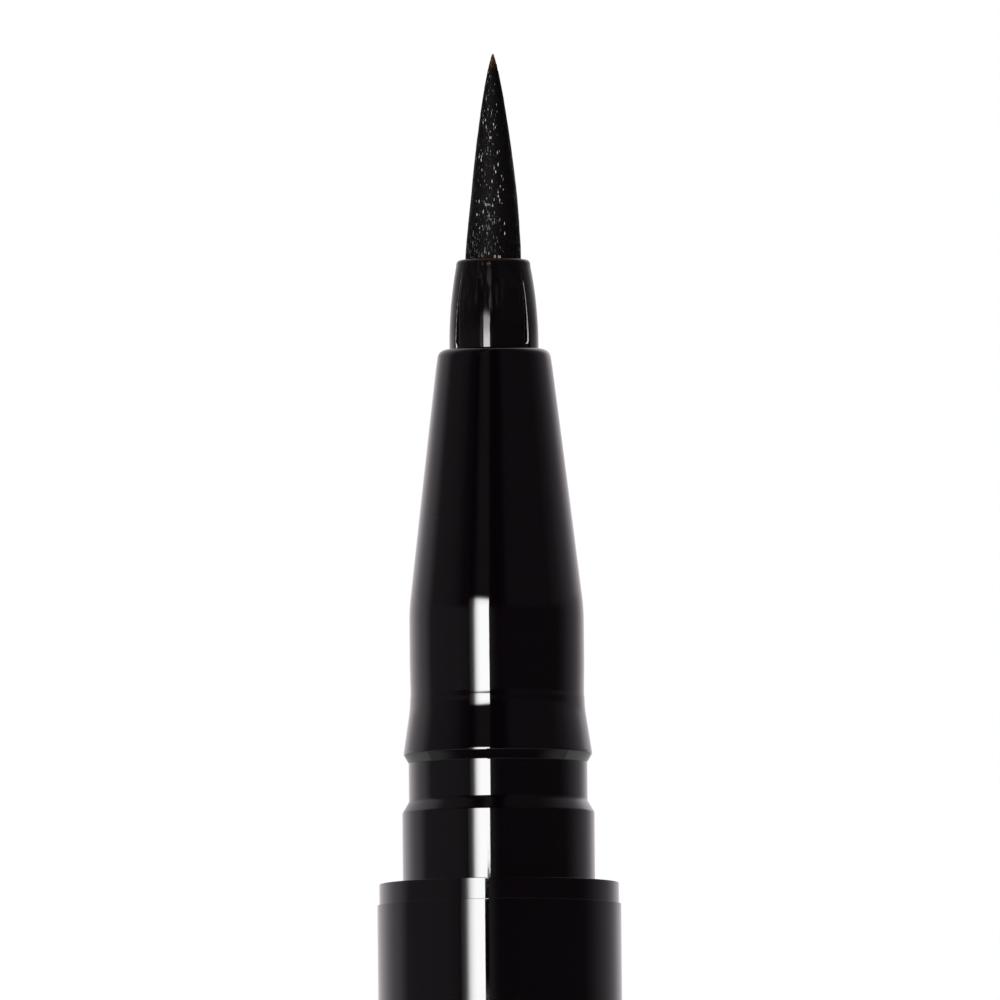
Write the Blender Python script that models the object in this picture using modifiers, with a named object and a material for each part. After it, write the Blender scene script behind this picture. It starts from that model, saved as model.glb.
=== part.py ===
# A liquid eyeliner pen: a fine bristle tip on a free-ink barrel, standing on its cap,
# which is pushed onto the tail. +Z runs along the pen towards the tip. The origin is the
# centre of the cap's closed end, which is the face that the pen stands on.
import math

import bmesh
import bpy
from mathutils import Matrix

mm = 0.001

# Fits between the pieces
press_gap = 0.03 * mm  # radial gap left where two pieces press together
seat_gap = 0.05 * mm  # axial gap left where one face rests on another
wick_gap = 0.06 * mm  # round the wick, in its pipe and in the collector
comb_gap = 0.12 * mm  # round the collector's fins
cap_gap = 0.06 * mm  # round the neck, inside the cap
spigot_gap = 0.03 * mm  # round the spigot, inside the cap's click bead

# Barrel: a sleeve over the moulded ink tank
barrel_radius = 5.2 * mm
barrel_length = 88.0 * mm  # between the cap's two resting places
sleeve_wall = 0.4 * mm
sleeve_edge = 0.06 * mm
ring_inset = 0.09 * mm  # the end rings stand this far inside the sleeve's outer face
ring_height = 0.9 * mm
ring_round = 0.12 * mm
tank_step = 0.25 * mm  # ledge inside the tank that carries the collector
tank_lead = 0.3 * mm

# Front section, from the shoulder up: neck, groove for the cap, lip, seal land and cone
shoulder_width = 1.1 * mm
neck_height = 3.01 * mm
neck_chamfer = 0.51 * mm
groove_depth = 0.29 * mm
groove_height = 1.58 * mm
lip_inset = 0.08 * mm  # the lip stands this far inside the neck's radius
lip_chamfer = 0.41 * mm
lip_height = 0.08 * mm
ramp_height = 1.95 * mm
land_inset = 0.377 * mm  # the seal land stands this far inside the neck's radius
land_height = 3.63 * mm
mould_line_height = 0.385 * mm  # of the mould's parting line, above the foot of the land
mould_line_width = 0.05 * mm
mould_line_depth = 0.02 * mm
blend_height = 1.25 * mm
blend_drop = 0.075 * mm
cone_height = 10.08 * mm
mouth_lip = 0.49 * mm  # face of the mouth, round the bristle holder
mouth_round = 0.3 * mm
mouth_bore_depth = 4.5 * mm
section_wall = 0.75 * mm
skirt_length = 9.0 * mm
skirt_wall = 0.7 * mm
skirt_chamfer = 0.2 * mm

# Bristles
bristle_radius = 1.19 * mm
bristle_length = 8.85 * mm  # outside the holder
bristle_root = 0.3 * mm  # the strands leave their root this far inside the holder
point_share = 0.72
swell_share = 1.25
gather_middle_share = 0.84
gather_end_share = 0.3
bend_share = 0.55
reach_step_share = 0.002
spread_share = 0.1
turn_share = 0.618
fill_share = 0.82
strand_rings = 10
strand_sides = 3
strand_bury = 0.12 * mm
strand_point = 1.1 * mm
point_limit_share = 0.5
root_margin = 0.02 * mm
root_depth = 1.5 * mm  # of the root's flange, inside the front section's mouth
root_thickness = 0.7 * mm
root_recess = 2.0 * mm

# Bristle holder, with its vent grooves
holder_height = 3.83 * mm  # outside the front section
holder_tip_wall = 0.377 * mm
holder_tip_round = 0.16 * mm
holder_flare = 0.338 * mm
holder_flare_height = 3.5 * mm
holder_socket_wall = 0.19 * mm
holder_flange = 0.4 * mm
holder_flange_thickness = 0.7 * mm
vent_angle = 52.0  # degrees on each side of the front and of the back
vent_turn = -3.5  # degrees that all four are turned about the axis
vent_height = 3.6 * mm  # of the grooves' upper ends, above the front section
vent_radius = 0.29 * mm  # of the grooves' round floors, at the front section and below
vent_standoff = 0.145 * mm  # of that radius's centre, outside the holder
vent_end_share = 0.1
vent_sides = 16

# Wick, and the pipe that carries it through the front section
wick_radius = 0.6 * mm
wick_point = 1.2 * mm
wick_tail = 1.0 * mm  # below the collector's nozzle
wick_round = 0.15 * mm
pipe_edge = 0.1 * mm

# Collector: a comb of fins that takes up overflow ink
boss_height = 3.0 * mm
boss_wall = 0.5 * mm
collector_flange = 0.8 * mm
collector_seal = 1.6 * mm
core_wall = 0.75 * mm
fin_count = 18
fin_space = 0.6 * mm
fin_thickness = 0.5 * mm
nozzle_length = 3.0 * mm
nozzle_lead = 0.2 * mm
slit_width = 0.35 * mm
slit_depth = 0.3 * mm  # into the core
notch_width = 1.6 * mm
notch_rise = 0.6 * mm  # of the air notch's floor, above the core

# Tail plug, which shuts the tank and carries the cap while the pen is in use
plug_length = 6.0 * mm
plug_rib_count = 2
plug_rib_height = 0.9 * mm
plug_rib_depth = 0.18 * mm
plug_chamfer = 0.25 * mm
plug_floor = 1.2 * mm
plug_wall = 0.9 * mm
spigot_length = 6.5 * mm
spigot_round = 0.35 * mm

# Mixing balls
ball_radius = 1.25 * mm
ball_spacing = 0.4 * mm

# Cap: moulded body, sleeve and sealing liner
cap_length = 40.0 * mm
crown_thickness = 1.6 * mm
crown_height = 1.2 * mm  # of the rim below the sleeve
crown_round = 0.35 * mm
cap_lead = 0.2 * mm
bead_bite = 0.08 * mm  # how far the click bead reaches inside the lip's radius
bead_height = 0.5 * mm
liner_setback = 7.9 * mm  # of the liner's mouth, from the cap's mouth
liner_wall = 0.35 * mm
liner_floor = 0.5 * mm
liner_bead = 0.09 * mm
liner_bead_height = 0.6 * mm
liner_lead = 0.15 * mm

# Cutters run past what they cut by this much
overrun = 0.5 * mm

merge_distance = 0.0005 * mm
crease_angle = 25.0
round_steps = 32
comb_steps = 24
arc_steps = 3
ball_segments = 16
ball_rings = 8

# Radii, from the outside of the barrel inwards
tank_radius = barrel_radius - sleeve_wall - press_gap
ring_radius = barrel_radius - ring_inset
neck_radius = barrel_radius - shoulder_width
socket_radius = neck_radius + press_gap
chamber_radius = socket_radius - tank_step
lip_radius = neck_radius - lip_inset
groove_radius = neck_radius - groove_depth
land_radius = neck_radius - land_inset
cavity_radius = land_radius - section_wall
plug_radius = chamber_radius - press_gap

# Radii, from the bristles outwards
holder_bore = bristle_radius + press_gap
holder_tip_radius = bristle_radius + holder_tip_wall
holder_radius = holder_tip_radius + holder_flare
holder_flange_radius = holder_radius + holder_flange
holder_socket = holder_tip_radius - holder_socket_wall
pipe_radius = holder_socket - press_gap
mouth_radius = holder_radius + mouth_lip
wick_bore = wick_radius + wick_gap
core_radius = wick_bore + core_wall

# The cap grips the neck with its bead, and the tail's spigot is made to the same bead
cap_bore = neck_radius + cap_gap
bead_radius = lip_radius - bead_bite
spigot_radius = bead_radius - spigot_gap
liner_radius = cap_bore - press_gap
liner_bore = liner_radius - liner_wall

# Heights above the shoulder that the shut cap rests on
groove_foot = neck_height + neck_chamfer
lip_foot = groove_foot + groove_height + lip_chamfer
land_foot = lip_foot + lip_height + ramp_height
blend_foot = land_foot + land_height
cone_foot = blend_foot + blend_height
mouth_height = cone_foot + cone_height + mouth_round
bead_reach = groove_foot + groove_height / 2 - seat_gap

# Depths below the collector's upper face
comb_depth = collector_flange + fin_count * (fin_space + fin_thickness) + fin_space
seal_depth = comb_depth + collector_seal
nozzle_depth = seal_depth + nozzle_length

# Depth of the root's foot below the front section's mouth
root_foot = root_depth + seat_gap + root_thickness

# Levels up the standing pen
tail_z = cap_length + seat_gap
plug_top_z = tail_z + ring_height + seat_gap + plug_length
shoulder_z = tail_z + barrel_length
mouth_z = shoulder_z + mouth_height
collector_z = shoulder_z - skirt_length - seat_gap
wick_foot_z = collector_z - nozzle_depth - wick_tail
wick_top_z = mouth_z - root_foot + root_recess + wick_point - seat_gap


def collection(name):
    made = bpy.data.collections.new(name)
    bpy.context.scene.collection.children.link(made)
    return made


def surface(name, colour, roughness, metallic=0.0):
    material = bpy.data.materials.new(name)
    material.use_nodes = True
    shader = material.node_tree.nodes["Principled BSDF"]
    shader.inputs["Base Color"].default_value = (*colour, 1.0)
    shader.inputs["Roughness"].default_value = roughness
    shader.inputs["Metallic"].default_value = metallic
    return material


def arc(centre, radius, start, end):
    # Points round an arc. Its angles are in degrees, from outwards towards upwards.
    points = []
    for step in range(arc_steps + 1):
        angle = math.radians(start + (end - start) * step / arc_steps)
        points.append((centre[0] + radius * math.cos(angle), centre[1] + radius * math.sin(angle)))
    return points


def placed(name, mesh, material, z, parent=None):
    mesh.name = name
    mesh.shade_smooth()
    mesh.set_sharp_from_angle(angle=math.radians(crease_angle))
    mesh.materials.clear()
    mesh.materials.append(material)
    piece = bpy.data.objects.new(name, mesh)
    piece.location.z = z
    piece.parent = parent
    pieces.objects.link(piece)
    return piece


def turned(name, profile, material, z, parent=None, steps=round_steps):
    # Turns (radius, height) points round the axis. They run down the outer side, and are
    # a closed loop unless both ends lie on the axis.
    lines = [(i, i + 1) for i in range(len(profile) - 1)]
    if profile[0][0] > 0:
        lines.append((len(profile) - 1, 0))
    outline = bpy.data.meshes.new(name)
    outline.from_pydata([(radius, 0, height) for radius, height in profile], lines, [])
    guide = bpy.data.objects.new(name, outline)
    cutters.objects.link(guide)
    screw = guide.modifiers.new("Turn", "SCREW")
    screw.steps = steps
    screw.render_steps = steps
    screw.use_merge_vertices = True
    screw.merge_threshold = merge_distance
    graph = bpy.context.evaluated_depsgraph_get()
    mesh = bpy.data.meshes.new_from_object(guide.evaluated_get(graph))
    bpy.data.objects.remove(guide)
    return placed(name, mesh, material, z, parent)


def shaped(piece, other, operation):
    # Cuts the other shape out of the piece, or joins it on, and keeps it as a hidden guide.
    cutters.objects.link(other)
    other.parent = piece
    other.hide_render = True
    other.display_type = "WIRE"
    boolean = piece.modifiers.new(other.name, "BOOLEAN")
    boolean.operation = operation
    boolean.object = other


def bar(name, low, high, flare=1.0):
    # A bar between two corners. Its side at high X is flare times as wide as the other.
    shape = bmesh.new()
    bmesh.ops.create_cube(shape, size=1.0)
    far = [vertex for vertex in shape.verts if vertex.co.x > 0]
    bmesh.ops.scale(shape, vec=(1, flare, 1), verts=far)
    bmesh.ops.scale(shape, vec=[b - a for a, b in zip(low, high)], verts=shape.verts)
    bmesh.ops.translate(shape, vec=[(a + b) / 2 for a, b in zip(low, high)], verts=shape.verts)
    mesh = bpy.data.meshes.new(name)
    shape.to_mesh(mesh)
    shape.free()
    return bpy.data.objects.new(name, mesh)


def rod(name, foot):
    # A round rod beside the holder. Above the front section it thins and leans in to the end.
    shape = bmesh.new()
    bmesh.ops.create_cone(shape, cap_ends=True, segments=vent_sides, radius1=vent_radius,
                          radius2=vent_radius * vent_end_share, depth=vent_height)
    bmesh.ops.translate(shape, vec=(0, 0, vent_height / 2), verts=shape.verts)
    upper = [vertex for vertex in shape.verts if vertex.co.z > vent_height / 2]
    lower = [vertex for vertex in shape.verts if vertex.co.z < vent_height / 2]
    bmesh.ops.translate(shape, vec=(holder_tip_radius + vent_standoff * vent_end_share, 0, 0), verts=upper)
    bmesh.ops.translate(shape, vec=(holder_radius + vent_standoff, 0, 0), verts=lower)
    base = [face for face in shape.faces if all(vertex in lower for vertex in face.verts)]
    run = bmesh.ops.extrude_face_region(shape, geom=base)
    bmesh.ops.delete(shape, geom=base, context="FACES_ONLY")
    ends = [item for item in run["geom"] if isinstance(item, bmesh.types.BMVert)]
    bmesh.ops.translate(shape, vec=(0, 0, foot), verts=ends)
    bmesh.ops.recalc_face_normals(shape, faces=shape.faces)
    mesh = bpy.data.meshes.new(name)
    shape.to_mesh(mesh)
    shape.free()
    return bpy.data.objects.new(name, mesh)


def tube(outer, inner, length, edge):
    return [
        (inner, length),
        (outer - edge, length),
        (outer, length - edge),
        (outer, edge),
        (outer - edge, 0),
        (inner, 0),
    ]


def make_barrel_sleeve():
    inset = ring_height + seat_gap
    profile = tube(barrel_radius, barrel_radius - sleeve_wall, barrel_length - 2 * inset, sleeve_edge)
    turned("barrel_sleeve", profile, sleeve_black, tail_z + inset, pen)


def make_ink_tank():
    # Its upper ring shows above the sleeve, and is what the shut cap rests on.
    length = barrel_length - ring_height - seat_gap
    ledge = skirt_length + seat_gap + collector_flange + seat_gap
    profile = [
        (socket_radius, 0),
        *arc((ring_radius - ring_round, -ring_round), ring_round, 90, 0),
        (ring_radius, -ring_height),
        (tank_radius, -ring_height),
        (tank_radius, -length),
        (chamber_radius + tank_lead, -length),
        (chamber_radius, tank_lead - length),
        (chamber_radius, -ledge),
        (socket_radius, -ledge),
    ]
    turned("ink_tank", profile, moulded_black, shoulder_z, pen)


def make_front_section():
    # The blend swells the land's upper end down to the cone's wide end.
    blend = []
    for step in range(arc_steps):
        left = 1 - step / arc_steps
        blend.append((land_radius - blend_drop * left**2, blend_foot + blend_height * left))
    line = land_foot + mould_line_height
    bore_radius = holder_radius + press_gap
    seat_radius = holder_flange_radius + press_gap
    seat_height = mouth_height - mouth_bore_depth
    profile = [
        (bore_radius, mouth_height),
        *arc((mouth_radius - mouth_round, mouth_height - mouth_round), mouth_round, 90, 0),
        *blend,
        (land_radius, blend_foot),
        (land_radius, line + mould_line_width / 2),
        (land_radius - mould_line_depth, line),
        (land_radius, line - mould_line_width / 2),
        (land_radius, land_foot),
        (lip_radius, lip_foot + lip_height),
        (lip_radius, lip_foot),
        (groove_radius, lip_foot - lip_chamfer),
        (groove_radius, groove_foot),
        (neck_radius, neck_height),
        (neck_radius, skirt_chamfer - skirt_length),
        (neck_radius - skirt_chamfer, -skirt_length),
        (neck_radius - skirt_wall, -skirt_length),
        (neck_radius - skirt_wall, 0),
        (cavity_radius, neck_height),
        (cavity_radius, cone_foot),
        (seat_radius, seat_height - holder_flange_thickness - seat_gap),
        (seat_radius, seat_height),
        (bore_radius, seat_height),
    ]
    turned("front_section", profile, front_black, shoulder_z, pen)


def make_bristle_holder():
    # It flares like a bell. The vent grooves have round floors, and start narrow and shallow
    # below its upper end.
    flange_top = -mouth_bore_depth - seat_gap
    flange_foot = flange_top - holder_flange_thickness
    flare = []
    for step in range(1, 2 * arc_steps + 1):
        down = step / (2 * arc_steps)
        height = holder_height - holder_tip_round - holder_flare_height * down
        flare.append((holder_radius - holder_flare * (1 - down) ** 2, height))
    tip_round = (holder_tip_radius - holder_tip_round, holder_height - holder_tip_round)
    profile = [
        (holder_bore, holder_height),
        *arc(tip_round, holder_tip_round, 90, 0),
        *flare,
        (holder_radius, flange_top),
        (holder_flange_radius, flange_top),
        (holder_flange_radius, flange_foot),
        (holder_socket, flange_foot),
        (holder_socket, -root_depth),
        (holder_bore, -root_depth),
    ]
    piece = turned("bristle_holder", profile, front_black, mouth_z, pen)
    angles = (vent_angle, 180 - vent_angle, 180 + vent_angle, -vent_angle)
    for number, angle in enumerate(angles):
        groove = rod(f"vent_groove_{number + 1}", flange_foot - overrun)
        groove.rotation_euler.z = math.radians(angle + vent_turn - 90)
        shaped(piece, groove, "DIFFERENCE")


def bundle_share(height_share):
    # Radius of the gathered bristles, as a share of their root's.
    return (1 - height_share**swell_share) ** point_share


def gather_share(height_share):
    # How near the strands have come to the axis, by straight runs with one bend.
    if height_share < bend_share:
        return 1 - (1 - gather_middle_share) * height_share / bend_share
    above = (height_share - bend_share) / (1 - bend_share)
    return gather_middle_share - (gather_middle_share - gather_end_share) * above


def reach_share(place_share):
    # Where a strand that starts at this share of the root's radius meets the outside.
    reach = 1.0
    while place_share * gather_share(reach) > bundle_share(reach):
        reach -= reach_step_share
    return reach


def make_strands():
    # Strands stand on rings round a middle one. They are made straight, bent at one level
    # and gathered together, each height by one amount, so that none crosses another.
    length = strand_bury + bristle_root + bristle_length
    pitch = (bristle_radius - root_margin) / (strand_rings + fill_share / 2)
    thickness = pitch * fill_share / 2
    shape = bmesh.new()
    count = 0
    for ring in range(strand_rings + 1):
        around = max(1, 6 * ring)
        for number in range(around):
            turn = 2 * math.pi * (number + ring / 2) / around
            reach = reach_share((pitch * ring + thickness) / bristle_radius)
            height = length * reach * (1 - spread_share * (count * turn_share % 1))
            point = min(strand_point, height * point_limit_share)
            stem = height - point
            side = Matrix.Translation((pitch * ring, 0, stem / 2))
            strand = bmesh.ops.create_cone(
                shape,
                cap_ends=True,
                segments=strand_sides,
                radius1=thickness,
                radius2=thickness,
                depth=stem,
                matrix=Matrix.Rotation(turn, 4, "Z") @ side,
            )
            faces = {face for vertex in strand["verts"] for face in vertex.link_faces}
            top = max(faces, key=lambda face: face.calc_center_median().z)
            bmesh.ops.poke(shape, faces=[top], offset=point)
            count += 1
    everything = shape.verts[:] + shape.edges[:] + shape.faces[:]
    bend = (0, 0, length * bend_share)
    bmesh.ops.bisect_plane(shape, geom=everything, plane_co=bend, plane_no=(0, 0, 1))
    for vertex in shape.verts:
        gather = gather_share(vertex.co.z / length)
        vertex.co.x *= gather
        vertex.co.y *= gather
    mesh = bpy.data.meshes.new("strands")
    shape.to_mesh(mesh)
    shape.free()
    print("bristle strands:", count, "gap in mm:", (pitch - 2 * thickness) / mm)
    return bpy.data.objects.new("strands", mesh)


def make_brush_tip():
    # The strands are melted together at the root, whose flange is held in the holder.
    root_top = holder_height - bristle_root
    profile = [
        (0, root_top),
        (bristle_radius, root_top),
        (bristle_radius, -root_depth - seat_gap),
        (pipe_radius, -root_depth - seat_gap),
        (pipe_radius, -root_foot),
        (wick_bore, -root_foot),
        (wick_bore, root_recess - root_foot),
        (0, root_recess + wick_point - root_foot),
    ]
    piece = turned("brush_tip", profile, wet_bristle, mouth_z, pen, comb_steps)
    strands = make_strands()
    strands.location.z = root_top - strand_bury
    shaped(piece, strands, "UNION")


def make_relay_pipe():
    foot_z = collector_z + seat_gap
    length = mouth_z - root_foot - seat_gap - foot_z
    profile = tube(pipe_radius, wick_bore, length, pipe_edge)
    turned("relay_pipe", profile, natural_plastic, foot_z, pen, comb_steps)


def make_feed_wick():
    length = wick_top_z - wick_foot_z
    profile = [
        (0, length),
        (wick_radius, length - wick_point),
        (wick_radius, wick_round),
        (wick_radius - wick_round, 0),
        (0, 0),
    ]
    turned("feed_wick", profile, fibre, wick_foot_z, pen, comb_steps)


def make_ink_collector():
    # The slit lets overflow ink in among the fins. The notch across from it is the air's
    # way from the fins up to the holder's vent grooves.
    flat_share = math.cos(math.pi / round_steps)
    flange_radius = socket_radius * flat_share - press_gap
    seal_radius = chamber_radius * flat_share - press_gap
    comb_radius = chamber_radius - comb_gap
    boss_radius = holder_socket + boss_wall
    profile = [
        (holder_socket, boss_height),
        (boss_radius, boss_height),
        (boss_radius, 0),
        (flange_radius, 0),
        (flange_radius, -collector_flange),
    ]
    depth = collector_flange
    for fin in range(fin_count):
        fin_top = depth + fin_space
        fin_foot = fin_top + fin_thickness
        profile += [
            (core_radius, -depth),
            (core_radius, -fin_top),
            (comb_radius, -fin_top),
            (comb_radius, -fin_foot),
        ]
        depth = fin_foot
    profile += [
        (core_radius, -depth),
        (core_radius, -comb_depth),
        (seal_radius, -comb_depth),
        (seal_radius, -seal_depth),
        (core_radius, -seal_depth),
        (core_radius, nozzle_lead - nozzle_depth),
        (core_radius - nozzle_lead, -nozzle_depth),
        (wick_bore, -nozzle_depth),
        (wick_bore, 0),
        (holder_socket, 0),
    ]
    piece = turned("ink_collector", profile, natural_plastic, collector_z, pen, comb_steps)
    slit = bar(
        "ink_slit",
        (core_radius - slit_depth, -slit_width / 2, -seal_depth - overrun),
        (seal_radius + overrun, slit_width / 2, -collector_flange),
    )
    slit.rotation_euler.z = math.radians(-90)
    shaped(piece, slit, "DIFFERENCE")
    notch = bar(
        "air_notch",
        (core_radius + notch_rise, -notch_width / 2, -comb_depth),
        (flange_radius + overrun, notch_width / 2, overrun),
    )
    notch.rotation_euler.z = math.radians(90)
    shaped(piece, notch, "DIFFERENCE")


def make_tail_plug():
    # A hollow plug with sealing ribs above its ring, and below it the cap's spigot.
    top = plug_top_z - tail_z
    inner_radius = spigot_radius - plug_wall
    ribs = []
    rib_top = top - plug_chamfer - plug_rib_height
    for rib in range(plug_rib_count):
        rib_foot = rib_top - plug_rib_height
        ribs += [
            (plug_radius, rib_top),
            (plug_radius - plug_rib_depth, rib_top),
            (plug_radius - plug_rib_depth, rib_foot),
            (plug_radius, rib_foot),
        ]
        rib_top = rib_foot - plug_rib_height
    profile = [
        (0, top),
        (plug_radius - plug_chamfer, top),
        (plug_radius, top - plug_chamfer),
        *ribs,
        (plug_radius, ring_height),
        (ring_radius, ring_height),
        *arc((ring_radius - ring_round, ring_round), ring_round, 0, -90),
        (spigot_radius, 0),
        *arc((spigot_radius - spigot_round, spigot_round - spigot_length), spigot_round, 0, -90),
        (inner_radius, -spigot_length),
        (inner_radius, top - plug_floor),
        (0, top - plug_floor),
    ]
    turned("tail_plug", profile, moulded_black, tail_z, pen)


def make_mixing_balls():
    for number, side in enumerate((-1, 1)):
        shape = bmesh.new()
        bmesh.ops.create_uvsphere(
            shape, u_segments=ball_segments, v_segments=ball_rings, radius=ball_radius
        )
        name = f"mixing_ball_{number + 1}"
        mesh = bpy.data.meshes.new(name)
        shape.to_mesh(mesh)
        shape.free()
        ball = placed(name, mesh, ball_steel, plug_top_z + seat_gap + ball_radius, pen)
        ball.location.x = side * (ball_radius + ball_spacing / 2)


def make_cap_body():
    bead_middle = cap_length - bead_reach
    profile = [
        (0, crown_thickness),
        (cap_bore, crown_thickness),
        (cap_bore, bead_middle - bead_height / 2),
        (bead_radius, bead_middle),
        (cap_bore, bead_middle + bead_height / 2),
        (cap_bore, cap_length - cap_lead),
        (cap_bore + cap_lead, cap_length),
        (tank_radius, cap_length),
        (tank_radius, crown_height),
        (ring_radius, crown_height),
        *arc((ring_radius - crown_round, crown_round), crown_round, 0, -90),
        (0, 0),
    ]
    turned("cap_body", profile, moulded_black, 0)


def make_cap_sleeve():
    foot_z = crown_height + seat_gap
    profile = tube(barrel_radius, barrel_radius - sleeve_wall, cap_length - foot_z, sleeve_edge)
    turned("cap_sleeve", profile, sleeve_black, foot_z)


def make_inner_cap():
    foot_z = crown_thickness + seat_gap
    length = cap_length - liner_setback - foot_z
    bead_top = length - liner_lead
    profile = [
        (0, liner_floor),
        (liner_bore, liner_floor),
        (liner_bore, bead_top - liner_bead_height),
        (liner_bore - liner_bead, bead_top - liner_bead_height / 2),
        (liner_bore, bead_top),
        (liner_bore + liner_lead, length),
        (liner_radius, length),
        (liner_radius, 0),
        (0, 0),
    ]
    turned("inner_cap", profile, soft_liner, foot_z)


for old in list(bpy.data.objects):
    bpy.data.objects.remove(old)

pieces = collection("liquid_eyeliner_pen")
cutters = collection("cutters")

sleeve_black = surface("sleeve_black", (0.005, 0.0045, 0.005), 0.08)
front_black = surface("front_black", (0.006, 0.0055, 0.006), 0.1)
moulded_black = surface("moulded_black", (0.008, 0.0075, 0.008), 0.2)
wet_bristle = surface("wet_bristle", (0.006, 0.005, 0.005), 0.25)
natural_plastic = surface("natural_plastic", (0.78, 0.79, 0.77), 0.4)
fibre = surface("fibre", (0.7, 0.69, 0.66), 0.85)
ball_steel = surface("ball_steel", (0.62, 0.61, 0.6), 0.22, 1.0)
soft_liner = surface("soft_liner", (0.72, 0.73, 0.72), 0.5)

pen = bpy.data.objects.new("pen", None)
pieces.objects.link(pen)

make_barrel_sleeve()
make_ink_tank()
make_front_section()
make_bristle_holder()
make_brush_tip()
make_relay_pipe()
make_feed_wick()
make_ink_collector()
make_tail_plug()
make_mixing_balls()
make_cap_body()
make_cap_sleeve()
make_inner_cap()
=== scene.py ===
import math
import random

import bmesh
import bpy
from mathutils import Matrix, Vector


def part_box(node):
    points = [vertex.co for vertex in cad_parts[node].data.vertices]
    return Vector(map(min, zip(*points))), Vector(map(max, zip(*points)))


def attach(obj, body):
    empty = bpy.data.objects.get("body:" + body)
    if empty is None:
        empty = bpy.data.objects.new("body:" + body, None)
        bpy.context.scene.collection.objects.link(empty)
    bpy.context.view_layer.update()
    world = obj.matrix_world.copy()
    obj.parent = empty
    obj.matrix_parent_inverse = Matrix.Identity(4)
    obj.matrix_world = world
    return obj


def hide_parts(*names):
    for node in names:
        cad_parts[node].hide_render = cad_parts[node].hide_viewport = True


# A liquid eyeliner pen, tip up, on its posted cap. Sizes in the dictionaries are in millimetres.
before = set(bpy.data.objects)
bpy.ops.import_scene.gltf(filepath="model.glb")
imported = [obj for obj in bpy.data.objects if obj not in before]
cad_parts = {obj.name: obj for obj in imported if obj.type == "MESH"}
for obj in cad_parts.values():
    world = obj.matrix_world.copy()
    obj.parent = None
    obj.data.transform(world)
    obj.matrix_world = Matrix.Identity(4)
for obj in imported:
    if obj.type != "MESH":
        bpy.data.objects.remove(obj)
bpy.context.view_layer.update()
mm = 0.001

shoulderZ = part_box("ink_tank")[1][2] / mm
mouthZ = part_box("front_section")[1][2] / mm
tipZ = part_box("brush_tip")[1][2] / mm


# Mesh helpers. A supporting point stands besideRound times the rounding, and besideGap more, off its corner.

meshing = {
    "bevelSteps": 5, "besideRound": 1.5, "besideGap": 0.01, "shortestRun": 0.02,
    "spinMerge": 0.00002, "cadMerge": 0.0005, "axisReach": 0.0004, "topBand": 0.01,
}


def finishPiece(name, shape, material, body, nodes, sharpAngle=35.0):
    # Turns a bmesh into a finished piece that stands for its CAD nodes.
    mesh = bpy.data.meshes.new(name)
    shape.to_mesh(mesh)
    shape.free()
    mesh.shade_smooth()
    mesh.set_sharp_from_angle(angle=math.radians(sharpAngle))
    mesh.materials.append(material)
    piece = bpy.data.objects.new(name, mesh)
    bpy.context.scene.collection.objects.link(piece)
    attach(piece, body)
    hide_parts(*nodes)
    return piece


def supportOutline(outline):
    # Puts a point on each straight run just beside a rounded corner, so that the flats stay flat.
    closed = outline[0][0] > 0
    supported = []
    for number, (radius, height, rounding) in enumerate(outline):
        supported.append((radius, height, rounding))
        if number == len(outline) - 1 and not closed:
            break
        nextRadius, nextHeight, nextRounding = outline[(number + 1) % len(outline)]
        run = math.hypot(nextRadius - radius, nextHeight - height)
        near, far = (corner * meshing["besideRound"] + meshing["besideGap"] if corner else 0.0
                     for corner in (rounding, nextRounding))
        if run > near + far + meshing["shortestRun"]:
            for away in ([near] if near else []) + ([run - far] if far else []):
                share = away / run
                supported.append((radius + (nextRadius - radius) * share,
                                  height + (nextHeight - height) * share, 0.0))
    return supported


def drawOutline(shape, outline, baseZ):
    # Outline points are (radius, height, rounding), and the rounding bevels that corner.
    outline = supportOutline(outline)
    corners = [shape.verts.new((radius * mm, 0, (baseZ + height) * mm)) for radius, height, _ in outline]
    for first, second in zip(corners, corners[1:]):
        shape.edges.new((first, second))
    if outline[0][0] > 0:
        shape.edges.new((corners[-1], corners[0]))
    for corner, (_, _, rounding) in zip(corners, outline):
        if rounding:
            bmesh.ops.bevel(shape, geom=[corner], offset=rounding * mm, offset_type="OFFSET",
                            segments=meshing["bevelSteps"], profile=0.5, affect="VERTICES", material=-1,
                            clamp_overlap=True)


def spinShape(shape, steps):
    # Turns the drawn outline once round the pen's axis.
    bmesh.ops.spin(shape, geom=shape.verts[:] + shape.edges[:], cent=(0, 0, 0), axis=(0, 0, 1),
                   dvec=(0, 0, 0), angle=2 * math.pi, steps=steps, use_merge=True, use_duplicate=False)
    bmesh.ops.remove_doubles(shape, verts=shape.verts, dist=meshing["spinMerge"] * mm)
    bmesh.ops.recalc_face_normals(shape, faces=shape.faces)


def outlineOfNode(node, rounding):
    # The half section of a turned CAD node, in its own order, with every corner rounded alike.
    shape = bmesh.new()
    shape.from_mesh(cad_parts[node].data)
    bmesh.ops.remove_doubles(shape, verts=shape.verts, dist=meshing["cadMerge"] * mm)
    flat = meshing["axisReach"] * mm
    inPlane = [e for e in shape.edges if all(abs(v.co.y) < flat and v.co.x > -flat for v in e.verts)]
    inPlane = [e for e in inPlane if max(v.co.x for v in e.verts) > flat]
    onward = {}  # each point of the section and its neighbours
    for edge in inPlane:
        for vertex in edge.verts:
            onward.setdefault(vertex, []).append(edge.other_vert(vertex))
    ends = [v for v in onward if len(onward[v]) == 1]
    start = ends[0] if ends else next(iter(onward))
    path, before, here = [start], None, start
    while True:
        ways = [v for v in onward[here] if v is not before]
        if not ways or ways[0] is start:
            break
        before, here = here, ways[0]
        path.append(here)
    outline = [(max(0.0, v.co.x) / mm, v.co.z / mm, 0.0 if v.co.x < flat else rounding) for v in path]
    shape.free()
    return [(0.0 if radius < flat / mm else radius, height, r) for radius, height, r in outline]


# Node helpers

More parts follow.
